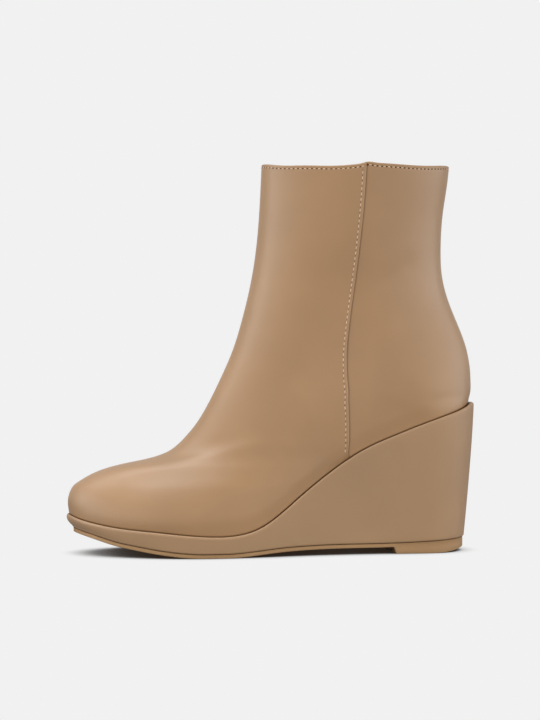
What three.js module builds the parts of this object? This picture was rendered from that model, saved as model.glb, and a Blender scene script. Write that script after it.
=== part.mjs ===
// A wedge ankle boot for the left foot, empty and standing on its sole.
// Millimetres: +X runs from heel to toe, +Y to the outer, little-toe side, +Z up.
// The origin is on the floor, under the middle of the boot's length.
import * as THREE from "three";
import { mergeVertices } from "three/addons/utils/BufferGeometryUtils.js";

// Driving sizes of the whole boot
const bootLength = 242; // heel to toe over the rim of the wedge
const ballWidth = 84; // upper across the ball, where it meets the wedge
const bootHeight = 228.4; // floor to the top of the collar
const heelHeight = 88; // floor to the wedge's rim at the back
const ballHeight = 12.2; // floor to the wedge's rim beside the ball
const toeHeight = 23; // floor to the wedge's rim at the toe tip
const instepHeight = 71; // floor to where the vamp turns up into the shin
const instepReach = 72.1; // that turn, measured back from the toe
const collarLength = 112.5; // front to back
const collarWidth = 68; // side to side
const collarSetback = 49.85; // middle of the collar, behind the middle of the boot
const collarDip = 2.8; // topline's lowest point below its front and back

// Driving sizes of the upper
const wall = 2; // leather and lining together
const seamStep = 0.9; // front panel's edge standing proud of the back panel
const seamFade = 16; // width over which that edge sinks back to the wall
const seamRise = 5; // height above the rim in which that edge comes out in full
const heelSwell = 1.7; // heel's fullest point behind the edge below it
const toeSwell = 0.9; // toe wall's fullest point in front of the edge below it
const sideSwell = 0.8; // sides' fullest line outside the edge below them
const lastingMargin = 8; // edge of the upper turned in under the footbed
const marginThickness = 1.5;
const collarRound = 0.6; // drop of the collar's folded edge to its two faces

// Driving sizes of the wedge, the sole and the footbed
const rimReveal = 2.2; // rim standing out past the upper along the sides
const toeReveal = 1.6; // the same at the toe
const heelReveal = 3.4; // the same at the back of the heel
const rimLip = 1.5; // rim's rise above the seat that the upper stands on
const rimRound = 1.5; // rounding of the rim's outer edge
const bottomRound = 1; // rounding of the wedge's bottom edge
const wedgeHeelDraft = 6.1; // wedge's back leaning in, rim to bottom
const wedgeToeDraft = 3.2; // platform's toe undercut, rim to bottom
const wedgeHeelBend = 1.3; // power by which the heel's undercut grows downwards
const wedgeToeBend = 2; // the same at the toe
const wedgeSideLean = 2.5; // wedge's sides leaning in, in degrees
const soleThickness = 2.2;
const soleInset = 0.8; // sole's edge inside the wedge's bottom edge
const toeSpring = 13; // sole's rise at the toe
const archRise = 3.7; // sole's rise under the arch
const treadLength = 16; // flat part of the sole under the ball
const treadReach = 83; // middle of that flat part, measured back from the toe
const heelPadLength = 46.5; // moulded heel pad, standing on the floor
const heelPadSlant = 1.8; // lean of the pad's front face
const heelTreadLength = 22; // flat part of the pad
const heelLift = 3; // rise of the pad's back edge
const footbedThickness = 3;
const footbedGap = 0.5; // between footbed and lining
const clearance = 0.3; // between pieces that rest on each other

// Fineness of the surfaces
const columnsPerSide = 32;
const upperRows = 26;
const wedgeRows = 5;

// Places worked out from those sizes
const toeX = bootLength / 2;
const heelX = -bootLength / 2;
const featherToeX = toeX - toeReveal; // feather: the line where the upper meets the wedge
const featherHeelX = heelX + heelReveal;
const featherLength = featherToeX - featherHeelX;
const featherDrop = rimLip - clearance; // upper's edge below the top of the rim
const instepX = toeX - instepReach;
const collarFrontX = collarLength / 2 - collarSetback;
const collarBackX = -collarLength / 2 - collarSetback;
const collarTopZ = bootHeight - collarRound;
const halfBall = ballWidth / 2;
const halfCollar = collarWidth / 2;
const treadFrontX = toeX - treadReach + treadLength / 2;
const treadBackX = treadFrontX - treadLength;
const soleToeX = toeX - wedgeToeDraft - soleInset;
const soleHeelX = heelX + wedgeHeelDraft + soleInset;
const padFrontX = soleHeelX + heelPadLength;

// Plan of the feather line. at: share of its length from the heel.
// half: half width, centre: how far its middle lies to the outer side, both in half ball widths.
const featherPlan = [
  { at: 0, half: 0.68, centre: 0 },
  { at: 0.12, half: 0.68, centre: 0 },
  { at: 0.3, half: 0.66, centre: 0.04 },
  { at: 0.42, half: 0.68, centre: 0.09 },
  { at: 0.55, half: 0.8, centre: 0.11 },
  { at: 0.64, half: 0.92, centre: 0.07 },
  { at: 0.72, half: 0.985, centre: 0.005 },
  { at: 0.8, half: 1, centre: -0.045 },
  { at: 0.88, half: 1, centre: -0.085 },
  { at: 1, half: 1, centre: -0.1 },
];
const toeRounding = 0.32; // length of the rounded toe end, in feather lengths
const heelRounding = 0.125; // the same at the heel

// Side view of the rim. at: share of the feather line from the heel.
// heel, ball, toe: shares of the three rim heights, which add up to the height there.
const rimProfile = [
  { at: 0, heel: 1, ball: 0, toe: 0 },
  { at: 0.02, heel: 0.971, ball: 0.005, toe: 0 },
  { at: 0.05, heel: 0.938, ball: 0.02, toe: 0 },
  { at: 0.13, heel: 0.855, ball: 0.09, toe: 0 },
  { at: 0.21, heel: 0.754, ball: 0.22, toe: 0 },
  { at: 0.29, heel: 0.637, ball: 0.38, toe: 0 },
  { at: 0.37, heel: 0.477, ball: 0.54, toe: 0 },
  { at: 0.45, heel: 0.278, ball: 0.77, toe: 0 },
  { at: 0.5, heel: 0.148, ball: 0.91, toe: 0 },
  { at: 0.55, heel: 0.052, ball: 0.98, toe: 0 },
  { at: 0.6, heel: 0.009, ball: 1, toe: 0 },
  { at: 0.67, heel: 0, ball: 1, toe: 0 },
  { at: 0.8, heel: 0, ball: 0.8, toe: 0.216 },
  { at: 0.9, heel: 0, ball: 0.5, toe: 0.478 },
  { at: 0.96, heel: 0, ball: 0.22, toe: 0.745 },
  { at: 0.985, heel: 0, ball: 0.08, toe: 0.892 },
  { at: 1, heel: 0, ball: 0, toe: 1 },
];

// Side view of the upper's front, from the toe up the vamp and the shin to the collar.
// at: share of its length. vamp, vampUp: shares of the way back and up to the instep.
// shin, shinUp: the same from the instep to the collar. swell: share of the toe's swell.
const frontProfile = [
  { at: 0, vamp: 0, vampUp: 0, shin: 0, shinUp: 0, swell: 0 },
  { at: 0.008, vamp: 0, vampUp: 0.046, shin: 0, shinUp: 0, swell: 0.3 },
  { at: 0.027, vamp: 0, vampUp: 0.152, shin: 0, shinUp: 0, swell: 1 },
  { at: 0.049, vamp: 0.013, vampUp: 0.273, shin: 0, shinUp: 0, swell: 1 },
  { at: 0.063, vamp: 0.038, vampUp: 0.345, shin: 0, shinUp: 0, swell: 1 },
  { at: 0.08, vamp: 0.075, vampUp: 0.394, shin: 0, shinUp: 0, swell: 1 },
  { at: 0.127, vamp: 0.211, vampUp: 0.507, shin: 0, shinUp: 0, swell: 1 },
  { at: 0.171, vamp: 0.36, vampUp: 0.583, shin: 0, shinUp: 0, swell: 1 },
  { at: 0.227, vamp: 0.559, vampUp: 0.648, shin: 0, shinUp: 0, swell: 1 },
  { at: 0.269, vamp: 0.707, vampUp: 0.7, shin: 0, shinUp: 0, swell: 0.85 },
  { at: 0.298, vamp: 0.804, vampUp: 0.75, shin: 0, shinUp: 0, swell: 0.65 },
  { at: 0.331, vamp: 0.897, vampUp: 0.839, shin: 0, shinUp: 0, swell: 0.35 },
  { at: 0.366, vamp: 1, vampUp: 1, shin: 0, shinUp: 0, swell: 0 },
  { at: 0.403, vamp: 1, vampUp: 1, shin: 0.132, shinUp: 0.048, swell: 0 },
  { at: 0.448, vamp: 1, vampUp: 1, shin: 0.266, shinUp: 0.111, swell: 0 },
  { at: 0.51, vamp: 1, vampUp: 1, shin: 0.433, shinUp: 0.203, swell: 0 },
  { at: 0.578, vamp: 1, vampUp: 1, shin: 0.597, shinUp: 0.306, swell: 0 },
  { at: 0.65, vamp: 1, vampUp: 1, shin: 0.724, shinUp: 0.4175, swell: 0 },
  { at: 0.743, vamp: 1, vampUp: 1, shin: 0.849, shinUp: 0.559, swell: 0 },
  { at: 0.836, vamp: 1, vampUp: 1, shin: 0.934, shinUp: 0.712, swell: 0 },
  { at: 0.918, vamp: 1, vampUp: 1, shin: 0.975, shinUp: 0.8555, swell: 0 },
  { at: 1, vamp: 1, vampUp: 1, shin: 1, shinUp: 1, swell: 0 },
];

// Side view of the upper's back. at: share of the way up from the wedge to the collar.
// back: share of the way out from the collar's back to the edge below, swell: share of the heel's swell.
const backProfile = [
  { at: 0, back: 1, swell: 0 },
  { at: 0.02, back: 1, swell: 0.15 },
  { at: 0.05, back: 1, swell: 0.8 },
  { at: 0.1, back: 1, swell: 1 },
  { at: 0.145, back: 0.98, swell: 0.98 },
  { at: 0.19, back: 0.915, swell: 0.915 },
  { at: 0.24, back: 0.795, swell: 0.795 },
  { at: 0.34, back: 0.395, swell: 0.395 },
  { at: 0.44, back: -0.036, swell: -0.036 },
  { at: 0.54, back: -0.31, swell: -0.31 },
  { at: 0.66, back: -0.375, swell: -0.375 },
  { at: 0.8, back: -0.285, swell: -0.285 },
  { at: 0.9, back: -0.125, swell: -0.125 },
  { at: 0.95, back: -0.05, swell: -0.05 },
  { at: 1, back: 0, swell: 0 },
];

// Level sections of the upper. at: share of the boot's height.
// front, back: lengths of the rounded ends, in collar lengths. half: half width, in half collar widths.
const levelSections = [
  { at: 0.1, front: 0.7, back: 0.27, half: 0.93 },
  { at: 0.15, front: 0.84, back: 0.27, half: 0.93 },
  { at: 0.19, front: 1.02, back: 0.27, half: 0.925 },
  { at: 0.23, front: 1.03, back: 0.27, half: 0.925 },
  { at: 0.27, front: 0.88, back: 0.27, half: 0.925 },
  { at: 0.31, front: 0.74, back: 0.28, half: 0.925 },
  { at: 0.37, front: 0.62, back: 0.31, half: 0.91 },
  { at: 0.45, front: 0.51, back: 0.4, half: 0.855 },
  { at: 0.55, front: 0.43, back: 0.48, half: 0.82 },
  { at: 0.65, front: 0.42, back: 0.48, half: 0.83 },
  { at: 0.8, front: 0.46, back: 0.48, half: 0.9 },
  { at: 1, front: 0.6, back: 0.5, half: 1 },
];
const legBlend = { low: 2, high: 78 }; // heights above the wedge between which foot becomes leg
const featherBlend = 14; // height in which the edge's plan becomes the level sections
const instepSoftening = 13; // height over which the front's outline is averaged for the sides
const softeningDepth = 42; // distance behind the front from which that holds in full

// Topline seen from the side. at: share of its length from the back.
// dip: share of the collar's dip; the line peaks a little where the side seams end.
const toplineProfile = [
  { at: 0, dip: 0 },
  { at: 0.06, dip: 0.25 },
  { at: 0.12, dip: 0.5 },
  { at: 0.25, dip: 0.66 },
  { at: 0.39, dip: 0.48 },
  { at: 0.45, dip: 0.33 },
  { at: 0.49, dip: 0.2 },
  { at: 0.52, dip: 0.5 },
  { at: 0.57, dip: 0.8 },
  { at: 0.65, dip: 1 },
  { at: 0.82, dip: 0.82 },
  { at: 0.94, dip: 0.54 },
  { at: 1, dip: 0 },
];

// Side seams. at: share of the rise from the wedge to the collar.
// along: share of the level way from the back to the front there.
const seamProfile = [
  { at: 0, along: 0.324 },
  { at: 0.06, along: 0.332 },
  { at: 0.12, along: 0.348 },
  { at: 0.2, along: 0.377 },
  { at: 0.34, along: 0.43 },
  { at: 0.45, along: 0.461 },
  { at: 0.57, along: 0.483 },
  { at: 0.7, along: 0.4895 },
  { at: 0.85, along: 0.493 },
  { at: 1, along: 0.495 },
];

// Side view of the sole's underside, ahead of the tread and behind it.
// at: share of the way from the tread to the end, rise: share of the toe spring or of the arch's rise.
const toeUnderside = [
  { at: 0, rise: 0 },
  { at: 0.1, rise: 0.022 },
  { at: 0.25, rise: 0.098 },
  { at: 0.4, rise: 0.214 },
  { at: 0.55, rise: 0.36 },
  { at: 0.7, rise: 0.53 },
  { at: 0.85, rise: 0.775 },
  { at: 1, rise: 1 },
];
const archUnderside = [
  { at: 0, rise: 0 },
  { at: 0.06, rise: 0.15 },
  { at: 0.12, rise: 0.36 },
  { at: 0.18, rise: 0.59 },
  { at: 0.28, rise: 0.84 },
  { at: 0.45, rise: 1 },
  { at: 0.67, rise: 1.05 },
  { at: 0.86, rise: 1.33 },
  { at: 1, rise: 1.6 },
];

// A smooth curve through one column of a table: the natural cubic spline.
function curveThrough(rows, column) {
  const n = rows.length;
  const bend = new Array(n).fill(0);
  const weight = new Array(n).fill(0);
  const gap = (i) => rows[i + 1].at - rows[i].at;
  const rate = (i) => (rows[i + 1][column] - rows[i][column]) / gap(i);
  for (let i = 1; i < n - 1; i++) {
    const pivot = 2 * (gap(i - 1) + gap(i)) - gap(i - 1) * weight[i - 1];
    weight[i] = gap(i) / pivot;
    bend[i] = (6 * (rate(i) - rate(i - 1)) - gap(i - 1) * bend[i - 1]) / pivot;
  }
  for (let i = n - 2; i > 0; i--) bend[i] -= weight[i] * bend[i + 1];
  return (at) => {
    let i = 0;
    while (i < n - 2 && rows[i + 1].at < at) i++;
    const h = gap(i);
    const a = rows[i + 1].at - at;
    const b = at - rows[i].at;
    return (
      (bend[i] * a ** 3 + bend[i + 1] * b ** 3) / (6 * h) +
      (rows[i][column] / h - (bend[i] * h) / 6) * a +
      (rows[i + 1][column] / h - (bend[i + 1] * h) / 6) * b
    );
  };
}

// Every column of a table as its own smooth curve.
function curvesOf(rows) {
  const columns = Object.keys(rows[0]).filter((name) => name !== "at");
  return Object.fromEntries(columns.map((name) => [name, curveThrough(rows, name)]));
}

const plan = curvesOf(featherPlan);
const rim = curvesOf(rimProfile);
const front = curvesOf(frontProfile);
const back = curvesOf(backProfile);
const level = curvesOf(levelSections);
const topline = curvesOf(toplineProfile);
const seam = curvesOf(seamProfile);
const toeUnder = curvesOf(toeUnderside);
const archUnder = curvesOf(archUnderside);

const clamp = THREE.MathUtils.clamp;
const mix = THREE.MathUtils.lerp;
const ease = (share) => THREE.MathUtils.smoothstep(share, 0, 1);

// Height of a quarter ellipse over its length: 0 at its end, 1 from the full length on.
const roundEnd = (share) => Math.sqrt(1 - (1 - clamp(share, 0, 1)) ** 2);

// A turn runs from -1 to 1: 0 at the middle of the heel, 1 and -1 at the toe, positive on the outer side.
const shareOfTurn = (turn) => (1 - Math.cos(Math.PI * turn)) / 2;
const turnOfShare = (share) => Math.acos(1 - 2 * share) / Math.PI;
const sideOfTurn = (turn) => Math.sign(Math.sin(Math.PI * turn));

const featherShare = (x) => clamp((x - featherHeelX) / featherLength, 0, 1);

// Height of the rim's top at a place along the boot.
function rimHeight(x) {
  const at = featherShare(x);
  return rim.heel(at) * heelHeight + rim.ball(at) * ballHeight + rim.toe(at) * toeHeight;
}

// Plan of the feather line.
function featherPoint(turn) {
  const at = shareOfTurn(turn);
  const half = plan.half(at) * roundEnd(at / heelRounding) * roundEnd((1 - at) / toeRounding);
  const y = halfBall * (plan.centre(at) + sideOfTurn(turn) * half);
  return new THREE.Vector2(featherHeelX + at * featherLength, y);
}

// Level direction out of the feather line.
function featherNormal(turn) {
  const step = 1e-3;
  const along = featherPoint(turn + step).sub(featherPoint(turn - step));
  return new THREE.Vector2(-along.y, along.x).normalize();
}

// A point of the plan, a distance outside the feather line.
function planPoint(turn, distance) {
  return featherPoint(turn).addScaledVector(featherNormal(turn), distance);
}

// Height of the upper's bottom edge along the boot.
const edgeHeight = (x) => rimHeight(x) - featherDrop;
const heelEdgeZ = edgeHeight(featherHeelX);
const toeEdgeZ = edgeHeight(featherToeX);

// The upper's front in side view, by its share of the way from toe to collar.
function frontPoint(at) {
  const vampBack = (featherToeX - instepX) * front.vamp(at) - toeSwell * front.swell(at);
  const shinBack = (instepX - collarFrontX) * front.shin(at);
  const vampUp = (instepHeight - toeEdgeZ) * front.vampUp(at);
  const shinUp = (collarTopZ - instepHeight) * front.shinUp(at);
  return { x: featherToeX - vampBack - shinBack, z: toeEdgeZ + vampUp + shinUp };
}

// The upper's back in side view, by its share of the way up.
function backPoint(at) {
  const out = (featherHeelX - collarBackX) * back.back(at) - heelSwell * back.swell(at);
  return { x: collarBackX + out, z: mix(heelEdgeZ, collarTopZ, at) };
}

// The same two outlines as the place along the boot for each height.
const outlineSteps = 2000;
const outlineOf = (point) => Array.from({ length: outlineSteps + 1 }, (_, i) => point(i / outlineSteps));
const frontOutline = outlineOf(frontPoint);
const backOutline = outlineOf(backPoint);
function outlineX(outline, z) {
  let low = 0;
  let high = outlineSteps;
  if (z <= outline[low].z) return outline[low].x;
  if (z >= outline[high].z) return outline[high].x;
  while (high - low > 1) {
    const middle = (low + high) >> 1;
    if (outline[middle].z < z) low = middle;
    else high = middle;
  }
  return mix(outline[low].x, outline[high].x, (z - outline[low].z) / (outline[high].z - outline[low].z));
}

// The front's outline as the level section behind it sees it. Its bends soften with the distance behind it.
function softFrontX(x, z) {
  const ahead = outlineX(frontOutline, z);
  const band = instepSoftening * ease((ahead - x) / softeningDepth);
  return (outlineX(frontOutline, z - band) + 2 * ahead + outlineX(frontOutline, z + band)) / 4;
}

// A point of the upper's outer surface. Rings of constant rise lean from the heel down to the vamp,
// and each point's width is that of a level section there, drawn in to the feather line at the edge.
function surfacePoint(turn, rise) {
  const at = shareOfTurn(turn);
  const frontEnd = frontPoint(rise);
  const backEnd = backPoint(rise);
  const feather = featherPoint(turn);
  const sag = edgeHeight(feather.x) - mix(heelEdgeZ, toeEdgeZ, at);
  const x = mix(backEnd.x, frontEnd.x, at);
  const dip = collarDip * topline.dip(at) * rise ** 4;
  const z = mix(backEnd.z, frontEnd.z, at) + (1 - rise) * sag - dip;

  const share = featherShare(x);
  const leg = ease((z - edgeHeight(x) - legBlend.low) / (legBlend.high - legBlend.low));
  const height = z / bootHeight;
  const footHalf = halfBall * plan.half(share) + sideSwell;
  const centre = halfBall * plan.centre(share) * (1 - leg);
  const frontRound = roundEnd((softFrontX(x, z) - x) / (collarLength * level.front(height)));
  const backRound = roundEnd((x - outlineX(backOutline, z)) / (collarLength * level.back(height)));
  const half = mix(footHalf, halfCollar * level.half(height), leg) * frontRound * backRound;
  const isEnd = turn === 0 || Math.abs(turn) === 1;
  const y = centre + (isEnd ? 0 : sideOfTurn(turn) * half);
  const blend = ease((z - edgeHeight(feather.x)) / featherBlend);
  return new THREE.Vector3(x, mix(feather.y, y, blend), z);
}

// Direction out of the upper's surface.
function surfaceNormal(turn, rise) {
  const step = 0.01;
  const top = Math.min(rise + step, 1);
  const bottom = Math.max(rise - step, 0);
  const around = surfacePoint(turn + step, rise).sub(surfacePoint(turn - step, rise));
  const up = surfacePoint(turn, top).sub(surfacePoint(turn, bottom));
  return up.cross(around).normalize();
}

// A point outside the surface by a distance, or inside it by a negative one.
function wallPoint(turn, rise, distance) {
  return surfacePoint(turn, rise).addScaledVector(surfaceNormal(turn, rise), distance);
}

// How far the front panel stands proud: from its edge at the side seam forward, and none where
// the upper stands inside the rim.
function seamProud(turn, rise) {
  const width = frontPoint(rise).x - backPoint(rise).x;
  const past = (shareOfTurn(turn) - seam.along(rise)) * width;
  const point = surfacePoint(turn, rise);
  const height = point.z - edgeHeight(point.x) - featherDrop;
  return seamStep * (1 - ease(past / seamFade)) * ease(height / seamRise);
}

// Columns of the upper around one ring: from the heel along the outer side to the toe and back.
// One column on each side follows the seam, and stands twice: as the back panel and as the front one.
const seamColumn = Math.round(columnsPerSide * turnOfShare(seam.along(0.5)));
function upperColumns(rise) {
  const seamTurn = turnOfShare(seam.along(rise));
  const side = [];
  for (let i = 0; i <= columnsPerSide; i++) {
    const past = (i - seamColumn) / (columnsPerSide - seamColumn);
    const turn = i <= seamColumn ? (seamTurn * i) / seamColumn : mix(seamTurn, 1, past);
    side.push({ turn, isFront: i > seamColumn });
    if (i === seamColumn) side.push({ turn, isFront: true });
  }
  const inner = side.slice(1, -1).reverse().map(({ turn, isFront }) => ({ turn: -turn, isFront }));
  return [...side, ...inner];
}

// A closed surface through rings of points. A tube's last ring joins its first,
// and other surfaces are closed across each end ring, side to side.
function skin(rings, isTube) {
  const count = rings[0].length;
  const half = count / 2;
  const faces = [];
  const quad = (a, b, c, d) => faces.push(a, b, c, a, c, d);
  const bands = isTube ? rings.length : rings.length - 1;
  for (let i = 0; i < bands; i++) {
    const low = i * count;
    const high = ((i + 1) % rings.length) * count;
    for (let j = 0; j < count; j++) {
      const next = (j + 1) % count;
      quad(low + j, high + j, high + next, low + next);
    }
  }
  if (!isTube) {
    const last = (rings.length - 1) * count;
    for (let j = 0; j < half; j++) {
      const outer = [j, j + 1];
      const inner = [(count - j) % count, count - j - 1];
      quad(outer[0], outer[1], inner[1], inner[0]);
      quad(last + outer[1], last + outer[0], last + inner[0], last + inner[1]);
    }
  }
  const positions = rings.flat().flatMap((point) => point.toArray());
  const geometry = new THREE.BufferGeometry();
  geometry.setAttribute("position", new THREE.Float32BufferAttribute(positions, 3));
  geometry.setIndex(faces);
  return withoutSlivers(mergeVertices(geometry, 1e-3));
}

// The same geometry without the faces that lost a corner when equal points were merged.
function withoutSlivers(geometry) {
  const index = [...geometry.index.array];
  const kept = [];
  for (let i = 0; i < index.length; i += 3) {
    const [a, b, c] = index.slice(i, i + 3);
    if (a !== b && b !== c && c !== a) kept.push(a, b, c);
  }
  geometry.setIndex(kept);
  geometry.computeVertexNormals();
  return geometry;
}

function named(name, geometry, material) {
  const mesh = new THREE.Mesh(geometry, material);
  mesh.name = name;
  return mesh;
}

// The upper: outer surface, folded collar edge, lining side, and the margin turned in underneath.
function upperGeometry() {
  const rise = (row) => {
    const share = row / upperRows;
    return mix(share, share * share, 0.6);
  };
  const edgeColumns = upperColumns(0);
  const marginRing = (inset, lift) =>
    edgeColumns.map(({ turn }) => {
      const point = planPoint(turn, -inset);
      return new THREE.Vector3(point.x, point.y, edgeHeight(point.x) + lift);
    });
  const outerRings = [];
  const liningRings = [];
  for (let row = 0; row <= upperRows; row++) {
    const at = rise(row);
    const columns = upperColumns(at);
    outerRings.push(
      columns.map(({ turn, isFront }) => wallPoint(turn, at, isFront ? seamProud(turn, at) : 0)),
    );
    liningRings.push(columns.map(({ turn }) => wallPoint(turn, at, -wall)));
  }
  const collarRing = upperColumns(1).map(({ turn }) => {
    const point = wallPoint(turn, 1, -wall / 2);
    return point.setZ(surfacePoint(turn, 1).z + collarRound);
  });
  return skin(
    [
      ...outerRings,
      collarRing,
      ...liningRings.slice(1).reverse(),
      marginRing(wall, marginThickness),
      marginRing(lastingMargin / 2, marginThickness),
      marginRing(lastingMargin, marginThickness),
      marginRing(lastingMargin, 0),
      marginRing(lastingMargin / 2, 0),
    ],
    true,
  );
}

// Height of the thin sole's underside along the boot, without the heel pad.
function undersideHeight(x) {
  if (x > treadFrontX) return toeSpring * toeUnder.rise((x - treadFrontX) / (soleToeX - treadFrontX));
  if (x < treadBackX) return archRise * archUnder.rise((treadBackX - x) / (treadBackX - soleHeelX));
  return 0;
}
const wedgeBottom = (x) => undersideHeight(x) + soleThickness + clearance;

// How far the wedge's edge stands outside the feather line, from the rim at 0 down to the bottom at 1.
function wedgeReveal(turn, share) {
  const point = featherPoint(turn);
  const normal = featherNormal(turn);
  const endReveal = normal.x < 0 ? heelReveal : toeReveal;
  const top = rimReveal + (endReveal - rimReveal) * normal.x ** 2;
  const endDraft =
    normal.x < 0 ? wedgeHeelDraft * share ** wedgeHeelBend : wedgeToeDraft * share ** wedgeToeBend;
  const wedgeHeight = rimHeight(point.x) - wedgeBottom(point.x);
  const sideDraft = Math.tan(THREE.MathUtils.degToRad(wedgeSideLean)) * wedgeHeight * share;
  return top - endDraft * normal.x ** 2 - sideDraft * normal.y ** 2;
}

// Turns around the pieces without a seam, in line with the upper's lowest ring.
const plainTurns = [...new Set(upperColumns(0).map(({ turn }) => turn))];

// A ring in plan, with a height worked out at each of its points.
function planRing(distance, height) {
  return plainTurns.map((turn) => {
    const point = planPoint(turn, distance(turn));
    return new THREE.Vector3(point.x, point.y, height(point.x));
  });
}

// A ring at one distance inside the feather line.
const insetRing = (inset, height) => planRing(() => -inset, height);
const fillerInset = lastingMargin + clearance;

// The covered wedge and platform: raised filler between the upper's margins, seat, rim, sides and bottom.
function wedgeGeometry() {
  const seat = (x) => rimHeight(x) - rimLip;
  const rings = [
    insetRing(fillerInset, (x) => edgeHeight(x) + marginThickness),
    insetRing(fillerInset, seat),
    insetRing(lastingMargin / 2, seat),
    insetRing(-clearance, seat),
    insetRing(-clearance, (x) => rimHeight(x) - rimRound * 0.2),
    planRing((turn) => wedgeReveal(turn, 0) * 0.45, rimHeight),
    planRing((turn) => wedgeReveal(turn, 0) - rimRound * 0.3, (x) => rimHeight(x) - rimRound * 0.3),
  ];
  for (let row = 0; row <= wedgeRows; row++) {
    const share = row / wedgeRows;
    const height = (x) => mix(rimHeight(x) - rimRound, wedgeBottom(x) + bottomRound, share);
    rings.push(planRing((turn) => wedgeReveal(turn, share), height));
  }
  rings.push(planRing((turn) => wedgeReveal(turn, 1) - bottomRound, wedgeBottom));
  return skin(rings.reverse(), false);
}

// The sole's outline at one place along the boot, on the outer or the inner side.
function soleEdge(x, side) {
  let low = 0;
  let high = 1;
  const edge = (turn) => planPoint(side * turn, wedgeReveal(side * turn, 1) - soleInset);
  for (let i = 0; i < 40; i++) {
    const middle = (low + high) / 2;
    if (edge(middle).x < x) low = middle;
    else high = middle;
  }
  return edge((low + high) / 2);
}

// Places across the sole, closer at its ends, with one at each step and each end of a flat part.
function soleStations() {
  const stations = [];
  for (let i = 0; i <= columnsPerSide; i++) {
    stations.push(mix(soleHeelX, soleToeX, shareOfTurn(i / columnsPerSide)));
  }
  const taken = new Set([0, columnsPerSide]);
  const steps = [
    padFrontX - heelTreadLength - heelPadSlant,
    padFrontX - heelPadSlant,
    padFrontX,
    treadBackX,
    treadFrontX,
  ];
  for (const step of steps) {
    const free = stations.map((_, i) => i).filter((i) => !taken.has(i));
    const off = (i) => Math.abs(stations[i] - step);
    const nearest = free.reduce((a, b) => (off(b) < off(a) ? b : a));
    stations[nearest] = step;
    taken.add(nearest);
  }
  return stations.sort((a, b) => a - b);
}

// The rubber sole: a thin sheet under the wedge that thickens into the heel pad.
function soleGeometry() {
  const stations = soleStations();
  const padFlatX = padFrontX - heelPadSlant - heelTreadLength;
  const bottomHeight = (x) => {
    if (x > padFrontX - heelPadSlant / 2) return undersideHeight(x);
    return x < padFlatX ? heelLift * ((padFlatX - x) / (padFlatX - soleHeelX)) ** 2 : 0;
  };
  const ring = (height) => {
    const pointAt = (x, side) => {
      const point = soleEdge(x, side);
      return new THREE.Vector3(x, point.y, height(x));
    };
    const outer = stations.map((x) => pointAt(x, 1));
    const inner = stations.slice(1, -1).reverse().map((x) => pointAt(x, -1));
    return [...outer, ...inner];
  };
  return skin([ring(bottomHeight), ring((x) => undersideHeight(x) + soleThickness)], false);
}

// The footbed, a plate on the upper's turned-in margin and the filler.
function footbedGeometry() {
  const outline = wall + footbedGap;
  const bottom = (x) => edgeHeight(x) + marginThickness + clearance;
  const top = (x) => bottom(x) + footbedThickness;
  const rings = [
    insetRing(fillerInset, bottom),
    insetRing(lastingMargin / 2, bottom),
    insetRing(outline, bottom),
    insetRing(outline, top),
    insetRing(fillerInset, top),
  ];
  return skin(rings, false);
}

const leather = new THREE.MeshStandardMaterial({ color: 0xa78364, roughness: 0.5, metalness: 0 });
const wrap = new THREE.MeshStandardMaterial({ color: 0xa18465, roughness: 0.5, metalness: 0 });
const rubber = new THREE.MeshStandardMaterial({ color: 0x8b6f56, roughness: 0.7, metalness: 0 });
const lining = new THREE.MeshStandardMaterial({ color: 0xb99877, roughness: 0.85, metalness: 0 });

const boot = new THREE.Group();
boot.add(
  named("upper", upperGeometry(), leather),
  named("wedge", wedgeGeometry(), wrap),
  named("outsole", soleGeometry(), rubber),
  named("footbed", footbedGeometry(), lining),
);
export default boot;
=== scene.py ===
# A left wedge ankle boot in smooth tan leather, on a pale studio floor.
import math
import bpy
import numpy as np
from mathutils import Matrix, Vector


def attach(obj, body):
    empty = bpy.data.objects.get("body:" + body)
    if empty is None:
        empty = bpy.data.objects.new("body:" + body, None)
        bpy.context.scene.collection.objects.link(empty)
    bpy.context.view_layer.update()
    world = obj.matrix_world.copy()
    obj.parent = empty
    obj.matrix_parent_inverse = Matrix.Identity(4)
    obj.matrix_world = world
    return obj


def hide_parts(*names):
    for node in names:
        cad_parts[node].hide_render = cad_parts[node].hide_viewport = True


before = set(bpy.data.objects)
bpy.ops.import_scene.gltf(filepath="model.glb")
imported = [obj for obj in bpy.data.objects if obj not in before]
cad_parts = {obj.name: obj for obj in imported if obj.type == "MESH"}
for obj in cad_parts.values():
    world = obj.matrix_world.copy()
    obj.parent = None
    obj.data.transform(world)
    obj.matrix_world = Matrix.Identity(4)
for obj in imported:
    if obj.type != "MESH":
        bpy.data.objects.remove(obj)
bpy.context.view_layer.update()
mm = 0.001  # the tables below are in millimetres, Blender's meshes in metres

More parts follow.
